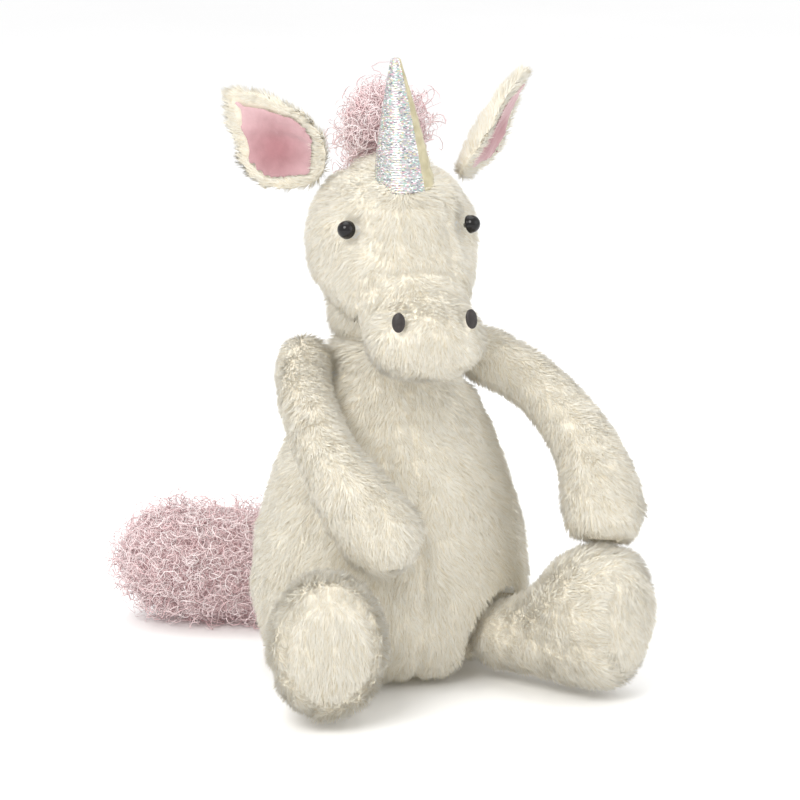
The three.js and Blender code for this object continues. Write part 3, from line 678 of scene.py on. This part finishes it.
# ---- Horn ------------------------------------------------------------------------------
# A stuffed cone of silver woven lurex, sewn up one side with a flat olive-gold edge. Fine
# metal threads run around it and catch pink, mint and yellow.
def lurex():
    """Silver cloth of small flecks in several tints, ribbed by its threads."""
    material = plain("horn lurex", (0.50, 0.50, 0.52), 0.36, 0.0, metallic=0.5)
    tree = material.node_tree
    link = tree.links.new
    shader = tree.nodes["Principled BSDF"]
    place = tree.nodes.new("ShaderNodeTexCoord")
    stretch = tree.nodes.new("ShaderNodeMapping")
    stretch.inputs["Scale"].default_value = (1.0, 1.0, 2.3)
    link(place.outputs["Object"], stretch.inputs["Vector"])
    flecks = tree.nodes.new("ShaderNodeTexVoronoi")
    flecks.inputs["Scale"].default_value = 1300
    link(stretch.outputs["Vector"], flecks.inputs["Vector"])
    pick = tree.nodes.new("ShaderNodeSeparateColor")
    link(flecks.outputs["Color"], pick.inputs["Color"])
    ramp = tree.nodes.new("ShaderNodeValToRGB")
    ramp.color_ramp.interpolation = "CONSTANT"
    tones = [(0.0, (0.36, 0.36, 0.38)), (0.24, (0.48, 0.47, 0.48)), (0.42, (0.56, 0.36, 0.42)),
             (0.54, (0.20, 0.21, 0.24)), (0.64, (0.34, 0.52, 0.46)), (0.76, (0.58, 0.54, 0.36)),
             (0.87, (0.80, 0.80, 0.82))]
    ramp.color_ramp.elements[0].color = (*tones[0][1], 1)
    ramp.color_ramp.elements[1].position = tones[1][0]
    ramp.color_ramp.elements[1].color = (*tones[1][1], 1)
    for position, colour in tones[2:]:
        ramp.color_ramp.elements.new(position).color = (*colour, 1)
    link(pick.outputs["Red"], ramp.inputs["Fac"])
    link(ramp.outputs["Color"], shader.inputs["Base Color"])
    threads = tree.nodes.new("ShaderNodeTexWave")
    threads.bands_direction = "Z"
    threads.inputs["Scale"].default_value = 330
    threads.inputs["Distortion"].default_value = 1.2
    link(place.outputs["Object"], threads.inputs["Vector"])
    relief = tree.nodes.new("ShaderNodeBump")
    relief.inputs["Strength"].default_value = 0.55
    relief.inputs["Distance"].default_value = 0.00025
    link(threads.outputs["Fac"], relief.inputs["Height"])
    link(relief.outputs["Normal"], shader.inputs["Normal"])
    return material


LUREX = lurex()
HORN_EDGE = mottled("horn edge", (0.36, 0.32, 0.19), (0.52, 0.47, 0.31), 250, 1800, roughness=0.5, sheen=0.1)
horn_length = np.linalg.norm(horn_way)
FOOT_RADIUS, TIP_RADIUS, BELLY = 10.5 * MM, 1.9 * MM, 0.5 * MM
EDGE_FROM, EDGE_TO = -1.15, -0.2
FOLD, BACK_SEAM = -0.7, -3.04
profile = []
for share in np.linspace(-0.2, 1, 76):
    radius = FOOT_RADIUS * (1 - share) + TIP_RADIUS * share + BELLY * math.sin(max(share, 0) * math.pi)
    ripple = 1 + 0.012 * math.sin(share * 47) + 0.008 * math.sin(share * 113 + 1)
    profile.append((radius * ripple, share * horn_length))
profile += [(1.3 * MM, horn_length + 0.5 * MM), (0.6 * MM, horn_length + 0.6 * MM)]
horn = lathe("horn_cone", profile, 96, LUREX)
horn.data.materials.append(HORN_EDGE)
stand(horn, horn_foot, horn_way)
shape = points_of(horn.data)
rise = ((shape - horn_foot) @ horn_axis)[:, None] * horn_axis
spoke = shape - horn_foot - rise
angle = np.arctan2(spoke[:, 1], spoke[:, 0])
welts = [(EDGE_FROM, 0.10, 0.5 * MM), (FOLD, 0.12, 0.3 * MM), (BACK_SEAM, 0.06, 0.2 * MM)]
for start, width, height in welts:
    off = np.abs((angle - start + math.pi) % (2 * math.pi) - math.pi)
    push = height * np.exp(-(off / width) ** 2)
    spoke *= (1 + push / np.maximum(np.linalg.norm(spoke, axis=1), 1 * MM))[:, None]
set_points(horn.data, horn_foot + rise + spoke)
for face in horn.data.polygons:
    turn = np.arctan2(*spoke[list(face.vertices)].mean(axis=0)[1::-1])
    if EDGE_FROM < turn < EDGE_TO or turn < BACK_SEAM:
        face.material_index = 1
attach(horn, "horn")
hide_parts("horn_cover")


# ---- Ears ------------------------------------------------------------------------------
# A cupped leaf of cream plush with a leaf of short rose velour sewn to its face. The plush
# shows as a furry rim around the velour.
def velour(side):
    """Rose velour, darkened with painted shade in the cup of the ear and paler towards its edge."""
    material = mottled(f"rose velour {side}", (0.80, 0.76, 0.76), (1.0, 1.0, 1.0), 160, 1500, bump=0.5,
                       sheen=0.4)
    tree = material.node_tree
    link = tree.links.new
    shader = tree.nodes["Principled BSDF"]
    grain = shader.inputs["Base Color"].links[0].from_socket
    # Painted shade: the colour is darkest near a point 4 mm below the middle of the lining, where the cup of
    # the ear is shaded, and pales with distance from it.
    place = tree.nodes.new("ShaderNodeTexCoord")
    reach = tree.nodes.new("ShaderNodeVectorMath")
    reach.operation = "DISTANCE"
    middle = middle_of(f"ear_lining_{side}")
    reach.inputs[1].default_value = middle + [0, 0, -4 * MM]
    link(place.outputs["Object"], reach.inputs[0])
    spread = tree.nodes.new("ShaderNodeMath")
    spread.operation = "MULTIPLY"
    spread.inputs[1].default_value = 1 / (22 * MM)
    link(reach.outputs["Value"], spread.inputs[0])
    ramp = tree.nodes.new("ShaderNodeValToRGB")
    ramp.color_ramp.elements[0].position, ramp.color_ramp.elements[1].position = 0.2, 0.95
    ramp.color_ramp.elements[0].color = (0.36, 0.165, 0.18, 1)
    ramp.color_ramp.elements[1].color = (0.66, 0.45, 0.47, 1)
    link(spread.outputs["Value"], ramp.inputs["Fac"])
    mix = tree.nodes.new("ShaderNodeMix")
    mix.data_type, mix.blend_type = "RGBA", "MULTIPLY"
    mix.inputs["Factor"].default_value = 1.0
    link(ramp.outputs["Color"], mix.inputs["A"])
    link(grain, mix.inputs["B"])
    link(mix.outputs["Result"], shader.inputs["Base Color"])
    return material


for number, side in enumerate(SIDES):
    body = f"ear_{side}"
    lining_name = f"ear_lining_{side}"
    lining_tree = search_tree(lining_name)
    back = cloth_bag(f"ear_cloth_{side}", body, [f"ear_back_{side}"], voxel=0.0012, draw_in=0.5 * MM,
                     swell=0.4 * MM, smooth=4)
    base = points_of(frame["nodes"][f"ear_back_{side}"].data)
    brow = middle_of("head_side_left", "head_side_right") + [0, 0, 20 * MM]
    tip = base[np.argmax(np.linalg.norm(base - brow, axis=1))]

    def ear_bare(root, tree=lining_tree):
        gaps = np.array([tree.find_nearest(Vector(p))[3] for p in root])
        return np.clip((gaps - 0.7 * MM) / (1.2 * MM), 0, 1)

    def ear_nap(root, way=tip - brow):
        return np.tile(unit(way[None])[0], (len(root), 1))

    every, no_seams = whole(back)
    pile(f"ear_pile_{side}", body, back, every, ear_nap, no_seams, 500 + number, per_mm2=4.5, length=4.0,
         width=0.45, bare=ear_bare)

    leaf = in_scene(f"ear_velour_{side}", merged_copy([lining_name]))
    with_modifier(leaf, "REMESH", mode="VOXEL", voxel_size=0.0006)
    with_modifier(leaf, "SMOOTH", factor=0.5, iterations=30)
    applied(leaf)
    shape, way = points_of(leaf.data), normals_of(leaf.data)
    rumple = 0.35 * MM * waves(shape, 0.011, 7 + number) + 0.12 * MM * waves(shape, 0.004, 17 + number)
    shape += way * rumple[:, None]
    set_points(leaf.data, shape)
    leaf.data.polygons.foreach_set("use_smooth", [True] * len(leaf.data.polygons))
    leaf.data.materials.clear()
    leaf.data.materials.append(velour(side))
    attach(leaf, body)
    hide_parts(lining_name)


# ---- Tail, forelock and mane -----------------------------------------------------------
# Curly eyelash yarn, knitted in loops: thin shiny pink threads that stand up, curl over and
# lie every way. Under them is the knitted ground that they grow from.
# The knitted ground and the yarn glow weakly in their colour squared: painted light that stands in for light
# scattered among the threads.
KNIT_GROUND = mottled("pink knit", (0.72, 0.54, 0.55), (0.82, 0.66, 0.67), 180, 900, bump=0.6, glow=0.08)
YARN_TONES = [
    plain("yarn pink", (0.82, 0.67, 0.675), 0.42, 0.2, glow=0.09),
    plain("yarn pale", (0.88, 0.785, 0.785), 0.38, 0.2, glow=0.09),
    plain("yarn deep", (0.77, 0.56, 0.57), 0.45, 0.2, glow=0.07),
]


LOOP_STOPS = 9


def curls(name, body, skin, count, seed, height=8.5, spread=2.7, thick=0.19, avoid=None):
    """Loops of yarn on a skin, as three-sided tubes that rise, curl round and come back down."""
    dice = np.random.default_rng(seed)
    mesh = skin.data
    points, normals, corners = points_of(mesh), normals_of(mesh), triangles_of(mesh)
    pick = scattered(areas_of(points, corners), count, dice)
    share = dice.dirichlet((1, 1, 1), count)[:, :, None]
    root = (points[corners[pick]] * share).sum(axis=1)
    up = unit((normals[corners[pick]] * share).sum(axis=1))
    if avoid is not None:
        keep = avoid(root)
        root, up = root[keep], up[keep]
        count = len(root)
    side = unit(np.cross(up, dice.normal(size=(count, 3))))
    over = np.cross(up, side)
    tall = height * MM * np.minimum(0.5 + dice.exponential(0.34, count), 1.6)
    wide = spread * MM * (0.5 + 0.9 * dice.random(count))
    turns = 0.4 + 1.1 * dice.random(count)
    phase = 2 * math.pi * dice.random(count)
    stops = LOOP_STOPS
    line = np.empty((stops, count, 3))
    for k in range(stops):
        t = k / (stops - 1)
        rise = tall * (math.sin(t * math.pi * 0.62) * 1.02)
        spin = phase + turns * 2 * math.pi * t
        swing = wide * (0.25 + 0.75 * t)
        line[k] = root + up * rise[:, None] + side * (swing * np.cos(spin))[:, None]
        line[k] += over * (swing * np.sin(spin))[:, None]
        line[k] += side * (tall * 0.35 * t * t)[:, None]
    line[:, :, 2] = np.maximum(line[:, :, 2], 0.5 * MM)
    thin = thick * MM * (0.75 + 0.5 * dice.random(count))
    verts = np.empty((stops, 3, count, 3))
    shade = np.empty((stops, 3, count, 3))
    for k in range(stops):
        ahead = unit(line[min(k + 1, stops - 1)] - line[max(k - 1, 0)])
        first = unit(np.cross(ahead, up + 0.3 * side))
        second = np.cross(ahead, first)
        for m in range(3):
            turn = 2 * math.pi * m / 3
            out = first * math.cos(turn) + second * math.sin(turn)
            verts[k, m] = line[k] + out * thin[:, None] * (1.0 if k < stops - 1 else 0.35)
            shade[k, m] = out
    index = np.arange(stops * 3 * count).reshape(stops, 3, count)
    quads = []
    for k in range(stops - 1):
        for m in range(3):
            n = (m + 1) % 3
            quads.append(np.stack([index[k, m], index[k, n], index[k + 1, n], index[k + 1, m]], axis=1))
    ends = [np.stack([index[0, 2], index[0, 1], index[0, 0]], axis=1),
            np.stack([index[-1, 0], index[-1, 1], index[-1, 2]], axis=1)]
    quad_rows, end_rows = np.concatenate(quads), np.concatenate(ends)
    loops = np.concatenate([quad_rows.ravel(), end_rows.ravel()])
    quad_starts = np.arange(len(quad_rows)) * 4
    end_starts = len(quad_rows) * 4 + np.arange(len(end_rows)) * 3
    starts = np.concatenate([quad_starts, end_starts])
    tone = dice.choice(3, count, p=(0.5, 0.32, 0.18))
    slots = np.concatenate([np.tile(tone, (stops - 1) * 3), np.tile(tone, 2)])
    obj = raw_object(name, verts.reshape(-1, 3), loops, starts, slots, YARN_TONES, shade.reshape(-1, 3))
    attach(obj, body)
    return obj


tail_core = cloth_bag("tail_knit", "tail", ["tail_cover"], ["tail_stuffing"], voxel=0.003, draw_in=5.0 * MM,
                      swell=0.6 * MM, cloth=KNIT_GROUND)
curls("tail_curls_low", "tail", tail_core, 3600, 61, height=7.0)
curls("tail_curls_high", "tail", tail_core, 3600, 71)
forelock_core = cloth_bag("forelock_knit", "head", ["forelock"], voxel=0.002, draw_in=6.0 * MM,
                          swell=0.3 * MM, cloth=KNIT_GROUND)


def clear_of_horn(root):
    return about_horn(root)[1] > 9 * MM


curls("forelock_curls", "head", forelock_core, 2400, 62, height=8.0, avoid=clear_of_horn)
mane_core = cloth_bag("mane_knit", "head", ["mane"], voxel=0.002, draw_in=3.5 * MM, swell=0.3 * MM,
                      smooth=3, cloth=KNIT_GROUND)
curls("mane_curls", "head", mane_core, 1700, 63, height=6.0,
      avoid=lambda root: root[:, 2] > 151 * MM)


# ---- Inner pieces and label ------------------------------------------------------------
# White polyester filling, cloth pouches of plastic beans, nylon eye washers and a blank woven
# label. Their shapes are right as they are, so each only gets its own material.
FILLING = mottled("polyester filling", (0.74, 0.74, 0.72), (0.90, 0.90, 0.88), 130, 700, bump=0.8,
                  distance=0.001)
POUCH = mottled("bean pouch", (0.58, 0.52, 0.40), (0.74, 0.68, 0.56), 260, 420, bump=1.0, distance=0.0012)
NYLON = mottled("washer nylon", (0.70, 0.70, 0.68), (0.80, 0.80, 0.79), 400, 1500, bump=0.1,
                roughness=0.4, sheen=0)
LABEL = mottled("woven label", (0.84, 0.84, 0.82), (0.93, 0.93, 0.92), 500, 3000, bump=0.4, roughness=0.6)
kinds = [("stuffing", FILLING), ("bean", POUCH), ("washer", NYLON), ("label", LABEL)]
for node, piece in frame["nodes"].items():
    for word, material in kinds:
        if word in node:
            piece.data.materials.clear()
            piece.data.materials.append(material)
